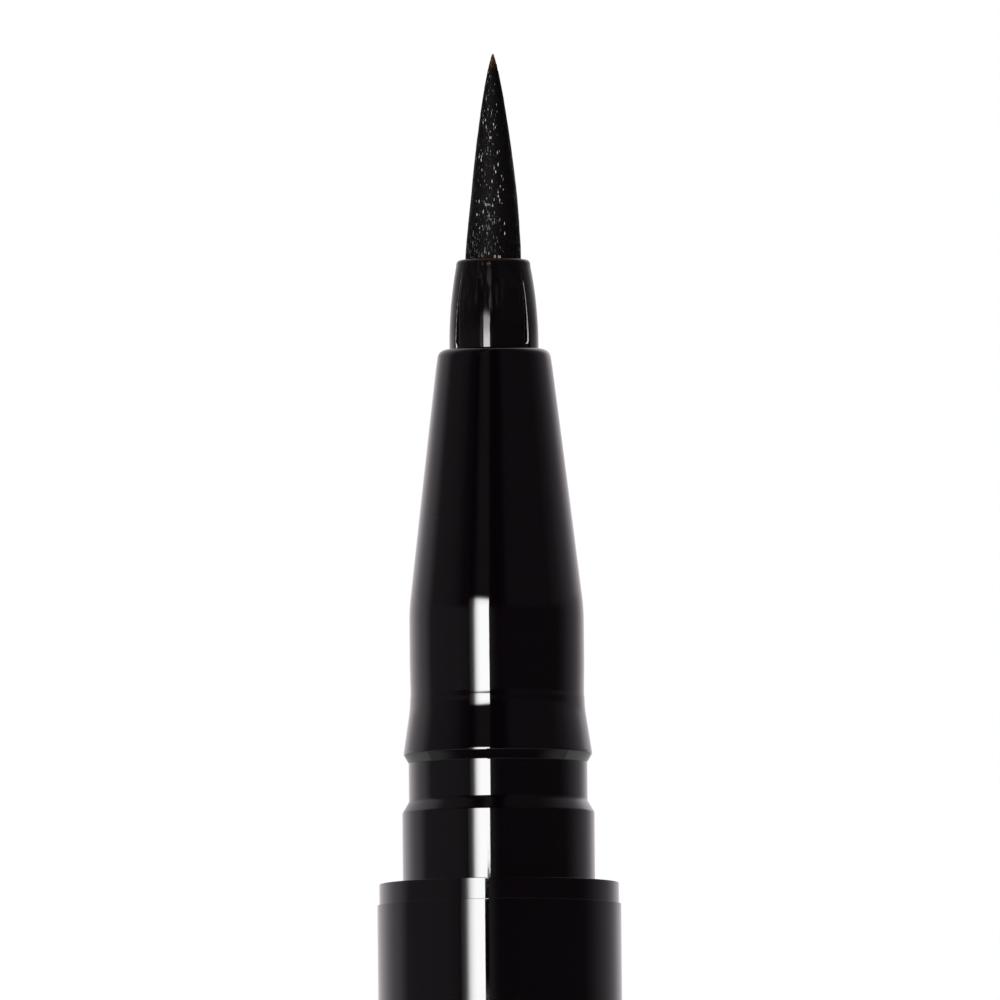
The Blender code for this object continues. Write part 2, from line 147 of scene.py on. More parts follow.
def addNode(tree, kind, name=None, **values):
    node = tree.nodes.new(kind)
    if name:
        node.name = node.label = name
    for key, value in values.items():
        setattr(node, key, value)
    return node


def feed(tree, socket, value):
    # Links another node's output to the socket, or else sets its number or colour.
    if isinstance(value, bpy.types.NodeSocket):
        tree.links.new(value, socket)
    else:
        socket.default_value = (*value, 1.0) if socket.type == "RGBA" else value


def addMath(tree, operation, first, second):
    node = addNode(tree, "ShaderNodeMath", operation=operation)
    feed(tree, node.inputs[0], first)
    feed(tree, node.inputs[1], second)
    return node.outputs[0]


def mixColour(tree, mask, first, second):
    node = addNode(tree, "ShaderNodeMix", data_type="RGBA")
    tree.links.new(mask, node.inputs["Factor"])
    feed(tree, node.inputs[6], first)
    feed(tree, node.inputs[7], second)
    return node.outputs[2]


def addNoise(tree, place, **values):
    node = addNode(tree, "ShaderNodeTexNoise")
    tree.links.new(place, node.inputs["Vector"])
    for key, value in values.items():
        feed(tree, node.inputs[key], value)
    return node.outputs[0]


def splitPlace(tree, place):
    node = addNode(tree, "ShaderNodeSeparateXYZ")
    tree.links.new(place, node.inputs[0])
    return node.outputs


def mapRange(tree, value, low, high, toLow=0.0, toHigh=1.0):
    node = addNode(tree, "ShaderNodeMapRange", interpolation_type="SMOOTHSTEP")
    tree.links.new(value, node.inputs["Value"])
    for socket, number in (("From Min", low), ("From Max", high), ("To Min", toLow), ("To Max", toHigh)):
        node.inputs[socket].default_value = number
    return node.outputs["Result"]


def newGroup(name, inputs, outputs):
    group = bpy.data.node_groups.new(name, "ShaderNodeTree")
    for label, kind, value in inputs:
        socket = group.interface.new_socket(name=label, in_out="INPUT", socket_type=kind)
        if value is not None:
            socket.default_value = value
    for label, kind in outputs:
        group.interface.new_socket(name=label, in_out="OUTPUT", socket_type=kind)
    return group, group.nodes.new("NodeGroupInput"), group.nodes.new("NodeGroupOutput")


def drawOut(group, start):
    # The place with its height multiplied by the group's Draw input.
    stretch = addNode(group, "ShaderNodeCombineXYZ")
    stretch.inputs["X"].default_value = stretch.inputs["Y"].default_value = 1.0
    group.links.new(start.outputs["Draw"], stretch.inputs["Z"])
    drawn = addNode(group, "ShaderNodeVectorMath", operation="MULTIPLY")
    group.links.new(start.outputs["Place"], drawn.inputs[0])
    group.links.new(stretch.outputs[0], drawn.inputs[1])
    return drawn.outputs[0]


finish = {
    "rippleDetail": 3.0, "rippleRough": 0.55,
    "smearDetail": 5.0, "smearRough": 0.6, "smearTwist": 0.8, "smearSoft": 0.22,
    "flatEdge": 0.5, "rubPatches": 2.5, "rubPatchFrom": 0.35, "rubPatchTo": 0.65, "rubFrom": 0.2,
    "ior": 1.5,
}


def makeRippleGroup():
    # Slight waviness that a mould leaves, drawn out along the pen.
    group, start, end = newGroup(
        "mouldRipple",
        [("Place", "NodeSocketVector", None), ("Size", "NodeSocketFloat", 1.0), ("Draw", "NodeSocketFloat", 1.0)],
        [("Height", "NodeSocketFloat")])
    noise = addNoise(group, drawOut(group, start), Scale=start.outputs["Size"],
                     Detail=finish["rippleDetail"], Roughness=finish["rippleRough"])
    group.links.new(noise, end.inputs["Height"])
    return group


def makeSmearGroup():
    # Cloudy patches where fingers have dulled the gloss. Clear is the part of the noise that stays glossy.
    group, start, end = newGroup(
        "fingerSmears",
        [("Place", "NodeSocketVector", None), ("Size", "NodeSocketFloat", 0.2), ("Clear", "NodeSocketFloat", 0.5)],
        [("Mask", "NodeSocketFloat")])
    noise = addNoise(group, start.outputs["Place"], Scale=start.outputs["Size"], Detail=finish["smearDetail"],
                     Roughness=finish["smearRough"], Distortion=finish["smearTwist"])
    above = addMath(group, "SUBTRACT", noise, start.outputs["Clear"])
    group.links.new(mapRange(group, above, 0.0, finish["smearSoft"]), end.inputs["Mask"])
    return group


def makeFleckGroup():
    # Sparse flecks or drops. Each cell has at most one, and Share is the part of the cells that have one.
    # Own is a number that each fleck keeps for itself.
    group, start, end = newGroup(
        "flecks",
        [("Place", "NodeSocketVector", None), ("Size", "NodeSocketFloat", 1.0), ("Draw", "NodeSocketFloat", 1.0),
         ("Share", "NodeSocketFloat", 0.1), ("Reach", "NodeSocketFloat", 0.09)],
        [("Mask", "NodeSocketFloat"), ("Own", "NodeSocketFloat")])
    cells = addNode(group, "ShaderNodeTexVoronoi")
    group.links.new(drawOut(group, start), cells.inputs["Vector"])
    group.links.new(start.outputs["Size"], cells.inputs["Scale"])
    split = addNode(group, "ShaderNodeSeparateColor")
    group.links.new(cells.outputs["Color"], split.inputs[0])
    chosen = addMath(group, "LESS_THAN", split.outputs[0], start.outputs["Share"])
    reach = addMath(group, "MULTIPLY", split.outputs[1], start.outputs["Reach"])
    near = addMath(group, "LESS_THAN", cells.outputs["Distance"], reach)
    group.links.new(addMath(group, "MULTIPLY", chosen, near), end.inputs["Mask"])
    group.links.new(split.outputs[2], end.inputs["Own"])
    return group


def makeEdgeGroup():
    # Picks out worn convex edges, in patches.
    group, start, end = newGroup(
        "edgeRub", [("Place", "NodeSocketVector", None), ("Reach", "NodeSocketFloat", 0.03)],
        [("Mask", "NodeSocketFloat")])
    geometry = addNode(group, "ShaderNodeNewGeometry")
    above = addMath(group, "SUBTRACT", geometry.outputs["Pointiness"], finish["flatEdge"])
    rise = addMath(group, "DIVIDE", above, start.outputs["Reach"])
    noise = addNoise(group, start.outputs["Place"], Scale=finish["rubPatches"])
    patches = mapRange(group, noise, finish["rubPatchFrom"], finish["rubPatchTo"])
    broken = addMath(group, "MULTIPLY", rise, patches)
    group.links.new(mapRange(group, broken, finish["rubFrom"], 1.0), end.inputs["Mask"])
    return group


print("making the finish groups")
rippleGroup = makeRippleGroup()
smearGroup = makeSmearGroup()
fleckGroup = makeFleckGroup()
edgeGroup = makeEdgeGroup()


def useGroup(tree, group, place, **values):
    node = addNode(tree, "ShaderNodeGroup", node_tree=group)
    tree.links.new(place, node.inputs["Place"])
    for key, value in values.items():
        node.inputs[key].default_value = value
    return node.outputs[0]


def startMaterial(name, metallic=0.0, specular=0.5):
    # Gives the tree, its shader and a place vector in millimetres.
    material = bpy.data.materials.new(name)
    material.use_nodes = True
    tree = material.node_tree
    shader = tree.nodes["Principled BSDF"]
    shader.inputs["IOR"].default_value = finish["ior"]
    shader.inputs["Metallic"].default_value = metallic
    shader.inputs["Specular IOR Level"].default_value = specular
    coordinates = addNode(tree, "ShaderNodeTexCoord")
    scale = addNode(tree, "ShaderNodeMapping", "millimetres")
    scale.inputs["Scale"].default_value = (1 / mm, 1 / mm, 1 / mm)
    tree.links.new(coordinates.outputs["Object"], scale.inputs["Vector"])
    return material, tree, shader, scale.outputs[0]


def addBump(tree, shader, height, depth):
    # The depth is in millimetres.
    bump = addNode(tree, "ShaderNodeBump")
    bump.inputs["Strength"].default_value = 1.0
    bump.inputs["Distance"].default_value = depth * mm
    tree.links.new(height, bump.inputs["Height"])
    tree.links.new(bump.outputs[0], shader.inputs["Normal"])


def makeGlossBlack(name, look):
    material, tree, shader, place = startMaterial(name, specular=look["specular"])
    smears = useGroup(tree, smearGroup, place, Size=look["smearSize"], Clear=look["smearClear"])
    dust = useGroup(tree, fleckGroup, place, Size=look["dustSize"], Share=look["dustShare"])
    rub = useGroup(tree, edgeGroup, place, Reach=look["rubReach"])
    ripple = useGroup(tree, rippleGroup, place, Size=look["rippleSize"], Draw=look["rippleDraw"])
    worn = mixColour(tree, addMath(tree, "MULTIPLY", rub, look["rubAmount"]), look["colour"], look["rubColour"])
    if "stainColour" in look:  # dried ink on the upper rim
        up = splitPlace(tree, place)["Z"]
        stain = mapRange(tree, up, mouthZ + look["stainFrom"], mouthZ + look["stainTo"])
        patches = useGroup(tree, rippleGroup, place, Size=look["stainSize"], Draw=1.0)
        patchy = mapRange(tree, patches, look["stainThin"], look["stainThick"])
        worn = mixColour(tree, addMath(tree, "MULTIPLY", stain, patchy), worn, look["stainColour"])
    dusty = mixColour(tree, addMath(tree, "MULTIPLY", dust, look["dustAmount"]), worn, look["dustColour"])
    tree.links.new(dusty, shader.inputs["Base Color"])
    dulled = addMath(tree, "MULTIPLY", smears, look["smearDull"])
    rubbed = addMath(tree, "MULTIPLY", rub, look["rubDull"])
    flecked = addMath(tree, "MULTIPLY", dust, look["dustDull"])
    rough = addMath(tree, "ADD", addMath(tree, "ADD", dulled, rubbed), flecked)
    if "stainColour" in look:  # streaks of thin ink dull the upper part, and a film reaches further down
        streaks = useGroup(tree, rippleGroup, place, Size=look["hazeSize"], Draw=look["hazeDraw"])
        streaky = mapRange(tree, streaks, look["hazeThin"], look["hazeThick"])
        upper = mapRange(tree, up, mouthZ + look["hazeFrom"], mouthZ + look["hazeTo"])
        haze = addMath(tree, "MULTIPLY", streaky, upper)
        rough = addMath(tree, "ADD", rough, addMath(tree, "MULTIPLY", haze, look["hazeDull"]))
        film = mapRange(tree, up, mouthZ + look["filmFrom"], mouthZ + look["filmTo"],
                        look["specular"], look["filmSpecular"])
        tree.links.new(film, shader.inputs["Specular IOR Level"])
    tree.links.new(addMath(tree, "ADD", rough, look["roughness"]), shader.inputs["Roughness"])
    addBump(tree, shader, ripple, look["rippleDepth"])
    return material


sleeveLook = {
    "colour": (0.0010, 0.0006, 0.0010), "specular": 0.5, "roughness": 0.015,
    "smearSize": 0.22, "smearClear": 0.52, "smearDull": 0.04,
    "dustSize": 1.6, "dustShare": 0.02, "dustAmount": 0.2, "dustColour": (0.12, 0.12, 0.12), "dustDull": 0.4,
    "rubReach": 0.12, "rubAmount": 0.1, "rubColour": (0.02, 0.02, 0.02), "rubDull": 0.06,
    "rippleSize": 0.8, "rippleDraw": 0.35, "rippleDepth": 0.0008,
}
frontLook = dict(sleeveLook, colour=(0.0012, 0.0006, 0.0011), roughness=0.025, rippleSize=1.1,
                 rippleDraw=0.5, rippleDepth=0.0012, smearClear=0.56)
holderLook = dict(frontLook, colour=(0.0020, 0.0014, 0.0018), specular=0.3, roughness=0.03, rippleSize=6.0,
                  rippleDraw=0.05, rippleDepth=0.004, rubAmount=0.15, rubColour=(0.014, 0.008, 0.006),
                  # heights are above the front section's mouth
                  stainColour=(0.022, 0.009, 0.005), stainFrom=3.68, stainTo=3.83,
                  stainSize=0.9, stainThin=0.3, stainThick=0.55,
                  hazeFrom=1.2, hazeTo=2.1, hazeSize=5.0, hazeDraw=0.06,
                  hazeThin=0.4, hazeThick=0.62, hazeDull=0.3,
                  filmFrom=0.2, filmTo=1.0, filmSpecular=0.17)
mouldedLook = dict(frontLook, roughness=0.015, rippleSize=1.2, rippleDraw=0.6, rippleDepth=0.0008, rubAmount=0.2)

print("mixing the black plastics")
sleeveBlack = makeGlossBlack("sleeveBlackLacquer", sleeveLook)
frontBlack = makeGlossBlack("frontBlackPlastic", frontLook)
holderBlack = makeGlossBlack("holderBlackPlastic", holderLook)
mouldedBlack = makeGlossBlack("mouldedBlackPlastic", mouldedLook)

bristleLook = {
    "colour": (0.0018, 0.0011, 0.0011), "tipColour": (0.07, 0.026, 0.009), "tipFrom": 0.8, "tipTo": 0.0,
    "roughness": 0.6, "specular": 0.08, "fused": 0.8, "rise": 0.13,
    "beadSize": 31.0, "beadDraw": 0.22, "beadShare": 0.56, "beadReach": 0.8, "beadRoughness": 0.06,
    "beadTurn": 1.3, "beadGloss": 0.6,
    "bandSize": 1.3, "bandFrom": 0.36, "bandTo": 0.54, "bandLeast": 0.3,
}


def makeBristle(look):
    # Filaments that the ink fuses into a dull whole. Beads of wet ink stand on them here and there and glint.
    material, tree, shader, place = startMaterial("wetBristle", specular=look["specular"])
    split = splitPlace(tree, place)
    below = addMath(tree, "SUBTRACT", tipZ, split["Z"])
    bare = mapRange(tree, below, look["tipFrom"], look["tipTo"])
    tree.links.new(mixColour(tree, bare, look["colour"], look["tipColour"]), shader.inputs["Base Color"])
    outward = addNode(tree, "ShaderNodeCombineXYZ")
    tree.links.new(split["X"], outward.inputs["X"])
    tree.links.new(split["Y"], outward.inputs["Y"])
    around = addNode(tree, "ShaderNodeVectorMath", operation="NORMALIZE")
    tree.links.new(outward.outputs[0], around.inputs[0])
    lifted = addNode(tree, "ShaderNodeVectorMath", operation="ADD")
    lifted.inputs[1].default_value = (0.0, 0.0, look["rise"])
    tree.links.new(around.outputs[0], lifted.inputs[0])
    geometry = addNode(tree, "ShaderNodeNewGeometry")
    fused = addNode(tree, "ShaderNodeMix", data_type="VECTOR")
    fused.inputs["Factor"].default_value = look["fused"]
    tree.links.new(geometry.outputs["Normal"], fused.inputs[4])
    tree.links.new(lifted.outputs[0], fused.inputs[5])
    smooth = addNode(tree, "ShaderNodeVectorMath", operation="NORMALIZE")
    tree.links.new(fused.outputs[1], smooth.inputs[0])
    tree.links.new(smooth.outputs[0], shader.inputs["Normal"])
    shader.inputs["Roughness"].default_value = look["roughness"]
    beads = useGroup(tree, fleckGroup, place, Size=look["beadSize"], Draw=look["beadDraw"],
                     Share=look["beadShare"], Reach=look["beadReach"])
    bands = useGroup(tree, rippleGroup, place, Size=look["bandSize"], Draw=1.0)
    banded = mapRange(tree, bands, look["bandFrom"], look["bandTo"],
                      look["bandLeast"] * look["beadGloss"], look["beadGloss"])
    inked = mapRange(tree, below, look["tipTo"], look["tipFrom"])
    wet = addMath(tree, "MULTIPLY", beads, addMath(tree, "MULTIPLY", banded, inked))
    tree.links.new(wet, shader.inputs["Coat Weight"])
    turn = addMath(tree, "MULTIPLY", addMath(tree, "SUBTRACT", beads.node.outputs["Own"], 0.5), look["beadTurn"])
    turned = addNode(tree, "ShaderNodeVectorRotate", "eachBeadFacesItsOwnWay", rotation_type="Z_AXIS")
    tree.links.new(around.outputs[0], turned.inputs["Vector"])
    tree.links.new(turn, turned.inputs["Angle"])
    tree.links.new(turned.outputs[0], shader.inputs["Coat Normal"])
    shader.inputs["Coat Roughness"].default_value = look["beadRoughness"]
    return material


wetBristle = makeBristle(bristleLook)

paleLooks = {
    "naturalPlastic": {"colour": (0.74, 0.75, 0.72), "shade": (0.6, 0.6, 0.56), "roughness": 0.32,
                       "size": 1.2, "draw": 1.0, "depth": 0.004},
    "softLiner": {"colour": (0.72, 0.73, 0.72), "shade": (0.6, 0.61, 0.6), "roughness": 0.42,
                  "size": 2.0, "draw": 0.6, "depth": 0.006},
    "wickFibre": {"colour": (0.7, 0.68, 0.64), "shade": (0.42, 0.4, 0.37), "roughness": 0.85,
                  "size": 14.0, "draw": 0.05, "depth": 0.02},
}
paleWear = {"toneFrom": 0.3, "toneTo": 0.7, "smearSize": 0.3, "smearClear": 0.5, "smearDull": 0.12}


def makePale(name):
    look = dict(paleWear, **paleLooks[name])
    material, tree, shader, place = startMaterial(name)
    ripple = useGroup(tree, rippleGroup, place, Size=look["size"], Draw=look["draw"])
    tone = mapRange(tree, ripple, look["toneFrom"], look["toneTo"])
    tree.links.new(mixColour(tree, tone, look["shade"], look["colour"]), shader.inputs["Base Color"])
    smears = useGroup(tree, smearGroup, place, Size=look["smearSize"], Clear=look["smearClear"])
    dull = addMath(tree, "MULTIPLY", smears, look["smearDull"])
    tree.links.new(addMath(tree, "ADD", dull, look["roughness"]), shader.inputs["Roughness"])
    addBump(tree, shader, ripple, look["depth"])
    return material


steelLook = {
    "colour": (0.62, 0.61, 0.6), "dullColour": (0.34, 0.33, 0.33), "roughness": 0.12,
    "smearSize": 1.6, "smearClear": 0.45, "smearDull": 0.25,
    "scratchSize": 9.0, "scratchDraw": 0.2, "scratchDepth": 0.001,
}


def makeBallSteel(look):
    material, tree, shader, place = startMaterial("ballSteel", metallic=1.0)
    smears = useGroup(tree, smearGroup, place, Size=look["smearSize"], Clear=look["smearClear"])
    tree.links.new(mixColour(tree, smears, look["colour"], look["dullColour"]), shader.inputs["Base Color"])
    dull = addMath(tree, "MULTIPLY", smears, look["smearDull"])
    tree.links.new(addMath(tree, "ADD", dull, look["roughness"]), shader.inputs["Roughness"])
    scratches = useGroup(tree, rippleGroup, place, Size=look["scratchSize"], Draw=look["scratchDraw"])
    addBump(tree, shader, scratches, look["scratchDepth"])
    return material


print("mixing the pale plastics, the fibre and the steel")
naturalPlastic = makePale("naturalPlastic")
softLiner = makePale("softLiner")
wickFibre = makePale("wickFibre")
ballSteel = makeBallSteel(steelLook)

# These three nodes keep their CAD mesh.
for node, material in (("relay_pipe", naturalPlastic), ("ink_collector", naturalPlastic), ("feed_wick", wickFibre)):
    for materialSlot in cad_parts[node].material_slots:
        materialSlot.material = material

# Turned pieces that keep their CAD outline, with finer steps and eased corners. Where crisp is given, the
# outer corner at the top has the rounding edge instead, and a lift closes the seam above the piece.

turnedPieces = {
    "barrelSleeve": {"node": "barrel_sleeve", "rounding": 0.006, "steps": 192, "body": "pen",
                     "crisp": 0.07, "edge": 0.008, "lift": 0.048,
                     "slot": "sleeve_black", "material": sleeveBlack},
    "tankAndRing": {"node": "ink_tank", "rounding": 0.008, "steps": 192, "body": "pen",
                    "crisp": 0.13, "edge": 0.02,
                    "slot": "moulded_black", "material": mouldedBlack},
    "tailPlug": {"node": "tail_plug", "rounding": 0.06, "steps": 160, "body": "pen",
                 "slot": "moulded_black", "material": mouldedBlack},
    "capSleeve": {"node": "cap_sleeve", "rounding": 0.04, "steps": 192, "body": "cap",
                  "slot": "sleeve_black", "material": sleeveBlack},
    "capBody": {"node": "cap_body", "rounding": 0.06, "steps": 160, "body": "cap",
                "slot": "moulded_black", "material": mouldedBlack},
    "sealLiner": {"node": "inner_cap", "rounding": 0.04, "steps": 128, "body": "cap",
                  "slot": "soft_liner", "material": softLiner},
}

print("turning the barrel and the cap")
for name, piece in turnedPieces.items():
    shape = bmesh.new()
    outline = outlineOfNode(piece["node"], piece["rounding"])
    top = max(height for _, height, _ in outline)
    widest = max(radius for radius, _, _ in outline)
    reach = piece.get("crisp", 0.0)
    eased = [point for point in outline if point[0] > widest - reach and point[1] > top - reach]
    if eased:
        outline = [point for point in outline if point not in eased[1:]]
        outline[outline.index(eased[0])] = (widest, top, piece["edge"])
    lift = piece.get("lift", 0.0)
    outline = [(radius, height + lift * (height > top - meshing["topBand"]), rounding)
               for radius, height, rounding in outline]
    drawOutline(shape, outline, 0.0)
    spinShape(shape, piece["steps"])
    finishPiece(name, shape, piece["material"], piece["body"], [piece["node"]])

# Mixing balls, loose in the tank

mixingBall = {"segments": 56, "rings": 28}

print("rounding the mixing balls")
for name, node, body in (("mixingBall1", "mixing_ball_1", "ball_1"), ("mixingBall2", "mixing_ball_2", "ball_2")):
    low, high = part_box(node)
    shape = bmesh.new()
    bmesh.ops.create_uvsphere(shape, u_segments=mixingBall["segments"], v_segments=mixingBall["rings"],
                              radius=(high.z - low.z) / 2, matrix=Matrix.Translation((low + high) / 2))
    finishPiece(name, shape, ballSteel, body, [node])

# Front section, from the mouth down. Heights are above the shoulder.

frontSection = {
    "steps": 224, "coneSteps": 12, "easeSteps": 10,
    "boreRadius": 1.935, "boreRound": 0.03, "mouthRadius": 2.393, "mouthHeight": 22.8, "mouthRound": 0.3,
    "coneFoot": 12.42, "coneRadius": 3.638, "coneSwell": 0.008, "landRadius": 3.723, "landTop": 11.17,
    "lineHeight": 7.905, "lineDepth": 0.02, "lineClear": 1.5,
    # height about the parting line, and the share of its depth there
    "lineDent": ((0.27, 1.0), (0.22, 0.97), (0.16, 0.84), (0.11, 0.66), (0.04, 0.32), (-0.025, 0.0)),
    "rampTop": 7.54, "rampRound": 0.35,
    "lipRadius": 4.02, "lipTop": 5.59, "lipTopRound": 0.05, "lipFoot": 5.51, "lipFootRound": 0.06,
    "grooveRadius": 3.81, "grooveTop": 5.15, "grooveTopRound": 0.02, "grooveFoot": 3.52, "grooveFootRound": 0.07,
    "neckRadius": 4.1, "neckTop": 3.03, "neckRound": 0.03,
    "skirt": 9.0, "skirtWall": 0.7, "skirtRound": 0.1, "skirtInnerRound": 0.05,
    "cavityRadius": 2.973, "cavityRound": 0.2,
    "seatRadius": 2.335, "seatHeight": 18.3, "seatDepth": 0.75, "seatRound": 0.03,
}


def makeFrontSection(size):
    taper = size["coneRadius"] - size["mouthRadius"]
    drop = taper / (size["mouthHeight"] - size["coneFoot"])
    outline = [
        (size["boreRadius"], size["mouthHeight"], size["boreRound"]),
        (size["mouthRadius"] - drop * size["mouthRound"] / 2, size["mouthHeight"], size["mouthRound"]),
    ]
    for step in range(1, size["coneSteps"]):  # the cone is very slightly swollen
        share = step / size["coneSteps"]
        height = size["mouthHeight"] + (size["coneFoot"] - size["mouthHeight"]) * share
        swell = size["coneSwell"] * 4 * share * (1 - share)
        outline.append((size["mouthRadius"] + taper * share + swell, height, 0.0))
    for step in range(size["easeSteps"]):  # it runs into the land without a corner
        left = 1 - step / size["easeSteps"]
        height = size["landTop"] + (size["coneFoot"] - size["landTop"]) * left
        outline.append((size["landRadius"] - (size["landRadius"] - size["coneRadius"]) * left ** 2, height, 0.0))
    outline += [
        (size["landRadius"], size["landTop"], 0.0),
        (size["landRadius"], size["lineHeight"] + size["lineClear"], 0.0),
    ]
    # The mould's parting line is a soft dent that ends in a crisp edge.
    outline += [(size["landRadius"] - size["lineDepth"] * depth, size["lineHeight"] + height, 0.0)
                for height, depth in size["lineDent"]]
    skirtInside = size["neckRadius"] - size["skirtWall"]
    outline += [
        (size["landRadius"], size["rampTop"], size["rampRound"]),
        (size["lipRadius"], size["lipTop"], size["lipTopRound"]),
        (size["lipRadius"], size["lipFoot"], size["lipFootRound"]),
        (size["grooveRadius"], size["grooveTop"], size["grooveTopRound"]),
        (size["grooveRadius"], size["grooveFoot"], size["grooveFootRound"]),
        (size["neckRadius"], size["neckTop"], size["neckRound"]),
        (size["neckRadius"], -size["skirt"], size["skirtRound"]),
        (skirtInside, -size["skirt"], size["skirtInnerRound"]),
        (skirtInside, 0.0, size["cavityRound"]),
        (size["cavityRadius"], size["neckTop"], size["cavityRound"]),
        (size["cavityRadius"], size["coneFoot"], size["cavityRound"]),
        (size["seatRadius"], size["seatHeight"] - size["seatDepth"], size["seatRound"]),
        (size["seatRadius"], size["seatHeight"], 0.0),
        (size["boreRadius"], size["seatHeight"], 0.0),
    ]
    shape = bmesh.new()
    drawOutline(shape, outline, shoulderZ)
    spinShape(shape, size["steps"])
    finishPiece("frontSection", shape, frontBlack, "pen", ["front_section"])


print("turning the front section")
makeFrontSection(frontSection)

# Bristle holder. Heights are above the front section's mouth.

bristleHolder = {
    "steps": 720, "height": 3.83, "boreRadius": 1.22, "boreRound": 0.02, "tipRadius": 1.567, "tipRound": 0.17,
    "flare": 0.338, "flareHeight": 3.5, "flareSteps": 28,
    "flangeRadius": 2.305, "flangeTop": -4.55, "flangeFoot": -5.25, "socketRadius": 1.377, "socketTop": -1.5,
    # vents and seams reach this far inside the tip's radius, and end this far above the flange
    "skinReach": 0.05, "flangeClear": 0.1,
    "ventAngle": 52.0, "ventTurn": -3.5, "ventTop": 3.6, "ventHalfWidth": 0.2, "ventDepth": 0.27, "ventEase": 2.0,
    "seamAngle": -13.3, "seamHalf": 0.03, "seamRise": 0.005,
}


def pressVents(shape, size, baseZ):
    # Four round-bottomed grooves that start at nothing below the tip and widen and deepen downwards,
    # and the two faint ridges that the mould leaves where its halves meet.
    angles = [math.radians(a + size["ventTurn"] - 90) for a in
              (size["ventAngle"], 180 - size["ventAngle"], 180 + size["ventAngle"], -size["ventAngle"])]
    for vertex in shape.verts:
        radius = math.hypot(vertex.co.x, vertex.co.y) / mm
        height = vertex.co.z / mm - baseZ
        if radius < size["tipRadius"] - size["skinReach"] or height < size["flangeTop"] + size["flangeClear"]:
            continue
        around = math.atan2(vertex.co.y, vertex.co.x)
        beside = abs(math.remainder(around - math.radians(size["seamAngle"] - 90), math.pi)) * radius
        rise = size["seamRise"] * max(0.0, 1 - beside / size["seamHalf"])
        vertex.co.x *= 1 + rise / radius
        vertex.co.y *= 1 + rise / radius
        share = min(1.0, (size["ventTop"] - height) / size["ventTop"])
        if share <= 0:
            continue
        away = min(abs(math.remainder(around - a, 2 * math.pi)) for a in angles) * radius
        across = away / (size["ventHalfWidth"] * share)
        if across < 1:
            depth = size["ventDepth"] * share * (1 - across ** 2) ** size["ventEase"]
            vertex.co.x *= 1 - depth / radius
            vertex.co.y *= 1 - depth / radius


def makeBristleHolder(size):
    outline = [
        (size["boreRadius"], size["height"], size["boreRound"]),
        (size["tipRadius"], size["height"], size["tipRound"]),
    ]
    flareTop = size["height"] - size["tipRound"]
    for step in range(1, size["flareSteps"] + 1):
        down = step / size["flareSteps"]
        radius = size["tipRadius"] + size["flare"] * (1 - (1 - down) ** 2)
        outline.append((radius, flareTop - size["flareHeight"] * down, 0.0))
    fullRadius = size["tipRadius"] + size["flare"]
    outline += [
        (fullRadius, size["flangeTop"], 0.0),
        (size["flangeRadius"], size["flangeTop"], 0.0),
        (size["flangeRadius"], size["flangeFoot"], 0.0),
        (size["socketRadius"], size["flangeFoot"], 0.0),
        (size["socketRadius"], size["socketTop"], 0.0),
        (size["boreRadius"], size["socketTop"], 0.0),
    ]
    shape = bmesh.new()
    drawOutline(shape, outline, mouthZ)
    spinShape(shape, size["steps"])
    pressVents(shape, size, mouthZ)
    finishPiece("bristleHolder", shape, holderBlack, "pen", ["bristle_holder"], sharpAngle=50.0)


print("turning the bristle holder")
makeBristleHolder(bristleHolder)

# Brush tip. The root's heights are above the front section's mouth, and the strands' are shares of their
# length above the holder.

brushTip = {
    "strands": 1150, "sides": 5, "fill": 0.98, "radius": 1.2, "sunk": 0.6,
    "length": tipZ - mouthZ - bristleHolder["height"],
    "point": 0.74, "swell": 1.25, "blunt": 0.035, "gatherMiddle": 0.86, "gatherEnd": 0.3, "bend": 0.55,
    "followLeast": 0.1, "follow": 0.55, "central": 15, "centralRows": 4, "centralDrop": 0.003,
    "thinUp": 0.2, "thinAlong": 0.55, "pointFrom": 0.95, "pointThin": 0.5,
    "stray": 0.01, "waves": 3, "set": 0.064, "setHeight": 0.3,
    "levels": (0.14, 0.28, 0.42, 0.55, 0.68, 0.8, 0.91), "halvings": 30,
    "rootSteps": 48, "rootRadius": 1.19, "rootTop": 3.0, "rootDepth": 1.55,
    "flangeRadius": 1.38, "flangeFoot": -2.25, "recessRadius": 0.66, "recess": 2.0, "recessPoint": 1.2, "seed": 7,
}


def bundleShare(heightShare, size):
    # How wide the whole bundle is at a height.
    return max(size["blunt"], max(0.0, 1 - heightShare ** size["swell"]) ** size["point"])


def gatherShare(heightShare, size):
    # How far a strand's place has drawn in at a height.
    if heightShare < size["bend"]:
        return 1 - (1 - size["gatherMiddle"]) * heightShare / size["bend"]
    above = (heightShare - size["bend"]) / (1 - size["bend"])
    return size["gatherMiddle"] - (size["gatherMiddle"] - size["gatherEnd"]) * above


def strandReach(placeShare, size):
    # The height at which a strand meets the bundle's outside, found by halving.
    low, high = 0.0, 1.0
    for _ in range(size["halvings"]):
        middle = (low + high) / 2
        if placeShare * gatherShare(middle, size) > bundleShare(middle, size):
            high = middle
        else:
            low = middle
    return low


def makeStrandTemplate(size):
    # One straight filament of unit height and radius, with a level wherever it may bend.
    shape = bmesh.new()
    bmesh.ops.create_cone(shape, cap_ends=True, segments=size["sides"], radius1=1.0, radius2=1.0, depth=1.0,
                          matrix=Matrix.Translation((0, 0, 0.5)))
    for level in size["levels"]:
        bmesh.ops.bisect_plane(shape, geom=shape.verts[:] + shape.edges[:] + shape.faces[:],
                               plane_co=(0, 0, level), plane_no=(0, 0, 1))
    mesh = bpy.data.meshes.new("strandTemplate")
    shape.to_mesh(mesh)
    shape.free()
    return mesh


